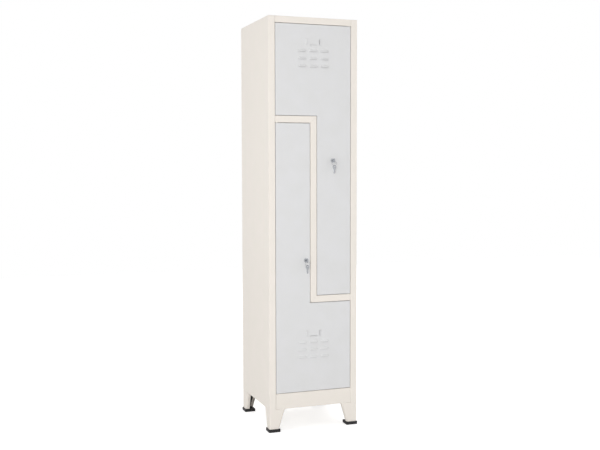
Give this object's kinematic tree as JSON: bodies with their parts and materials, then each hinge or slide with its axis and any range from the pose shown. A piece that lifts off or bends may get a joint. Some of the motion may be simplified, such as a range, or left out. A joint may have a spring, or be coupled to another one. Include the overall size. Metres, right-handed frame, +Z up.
{
  "type": "z locker",
  "caption": "Tall free-standing steel locker on legs, with two interlocking L-shaped doors round a Z-shaped divider, louvres, and cam locks with keys.",
  "frame": {"origin": "on the floor, at the centre of the bounding box from the hanging spare keys in front to the rear shoes", "axes": "+Z up, +X to the right seen from the front, +Y towards the back; the doors face -Y"},
  "size_m": [0.416, 0.4395, 1.8],
  "materials": {
    "cream_coat": "satin cream powder coat with a fine orange-peel surface",
    "grey_coat": "satin light grey powder coat with a fine orange-peel surface",
    "lock_chrome": "polished nickel-chrome plating",
    "zinc_steel": "zinc plated steel",
    "bush_nylon": "natural moulded nylon",
    "buffer_rubber": "matte dark rubber",
    "black_plastic": "finely textured black moulded plastic"
  },
  "bodies": {
    "carcass": {"left_side_panel": "cream_coat", "right_side_panel": "cream_coat", "left_front_post": "cream_coat", "right_front_post": "cream_coat", "roof_panel": "cream_coat", "bottom_panel": "cream_coat", "back_panel": "cream_coat", "upper_divider_bar": "cream_coat", "lower_divider_bar": "cream_coat", "vertical_divider_bar": "cream_coat", "upper_shelf": "cream_coat", "lower_shelf": "cream_coat", "vertical_partition": "cream_coat", "upper_door_bottom_pin": "zinc_steel", "upper_door_top_pin": "zinc_steel", "lower_door_bottom_pin": "zinc_steel", "lower_door_top_pin": "zinc_steel", "upper_door_rail_buffer": "buffer_rubber", "upper_door_bar_buffer": "buffer_rubber", "lower_door_sill_buffer": "buffer_rubber", "lower_door_bar_buffer": "buffer_rubber", "upper_coat_rail": "zinc_steel", "upper_rail_left_socket": "black_plastic", "upper_rail_right_socket": "black_plastic", "lower_coat_rail": "zinc_steel", "lower_rail_left_socket": "black_plastic", "lower_rail_right_socket": "black_plastic", "front_left_leg": "cream_coat", "front_right_leg": "cream_coat", "back_left_leg": "cream_coat", "back_right_leg": "cream_coat", "front_left_shoe": "black_plastic", "front_right_shoe": "black_plastic", "back_left_shoe": "black_plastic", "back_right_shoe": "black_plastic"},
    "upper_leaf": {"upper_door": "grey_coat", "upper_door_stiffener": "grey_coat", "upper_door_bottom_bush": "bush_nylon", "upper_door_top_bush": "bush_nylon", "upper_lock_body": "lock_chrome", "upper_lock_nut": "zinc_steel"},
    "lower_leaf": {"lower_door": "grey_coat", "lower_door_stiffener": "grey_coat", "lower_door_bottom_bush": "bush_nylon", "lower_door_top_bush": "bush_nylon", "lower_lock_body": "lock_chrome", "lower_lock_nut": "zinc_steel"},
    "upper_lock": {"upper_lock_plug": "lock_chrome", "upper_lock_cam": "zinc_steel", "upper_cam_screw": "zinc_steel"},
    "lower_lock": {"lower_lock_plug": "lock_chrome", "lower_lock_cam": "zinc_steel", "lower_cam_screw": "zinc_steel"},
    "upper_lock_key": {"upper_key": "lock_chrome"},
    "lower_lock_key": {"lower_key": "lock_chrome"},
    "upper_ring": {"upper_key_ring": "lock_chrome"},
    "lower_ring": {"lower_key_ring": "lock_chrome"},
    "upper_spare": {"upper_spare_key": "lock_chrome"},
    "lower_spare": {"lower_spare_key": "lock_chrome"}
  },
  "joints": [
    {"name": "upper_door_swing", "type": "hinge", "parent": "carcass", "child": "upper_leaf", "pos_m": [0.166, -0.18673, 1.18], "axis": [0, 0, 1], "range_deg": [0, 110]},
    {"name": "lower_door_swing", "type": "hinge", "parent": "carcass", "child": "lower_leaf", "pos_m": [-0.166, -0.18673, 0.76], "axis": [0, 0, -1], "range_deg": [0, 110]},
    {"name": "upper_lock_turn", "type": "hinge", "parent": "upper_leaf", "child": "upper_lock", "pos_m": [0.09, -0.19323, 1.185], "axis": [0, 1, 0], "range_deg": [0, 90]},
    {"name": "lower_lock_turn", "type": "hinge", "parent": "lower_leaf", "child": "lower_lock", "pos_m": [-0.0355, -0.19323, 0.75], "axis": [0, -1, 0], "range_deg": [0, 90]},
    {"name": "upper_key_slide", "type": "slide", "parent": "upper_lock", "child": "upper_lock_key", "axis": [0, -1, 0], "range_m": [0, 0.02]},
    {"name": "lower_key_slide", "type": "slide", "parent": "lower_lock", "child": "lower_lock_key", "axis": [0, -1, 0], "range_m": [0, 0.02]},
    {"name": "upper_ring_swing", "type": "hinge", "parent": "upper_lock_key", "child": "upper_ring", "pos_m": [0.09, -0.21183, 1.174], "axis": [0, 1, 0], "range_deg": [-90, 0]},
    {"name": "lower_ring_swing", "type": "hinge", "parent": "lower_lock_key", "child": "lower_ring", "pos_m": [-0.0355, -0.21183, 0.739], "axis": [0, -1, 0], "range_deg": [-90, 0]},
    {"name": "upper_spare_key_swing", "type": "hinge", "parent": "upper_ring", "child": "upper_spare", "pos_m": [0.09, -0.21183, 1.162], "axis": [1, 0, 0], "range_deg": [-25, 25]},
    {"name": "lower_spare_key_swing", "type": "hinge", "parent": "lower_ring", "child": "lower_spare", "pos_m": [-0.0355, -0.21183, 0.727], "axis": [1, 0, 0], "range_deg": [-25, 25]}
  ],
  "couplings": [
    {"joint": "upper_ring_swing", "follows": "upper_lock_turn", "ratio": -1},
    {"joint": "lower_ring_swing", "follows": "lower_lock_turn", "ratio": -1}
  ]
}
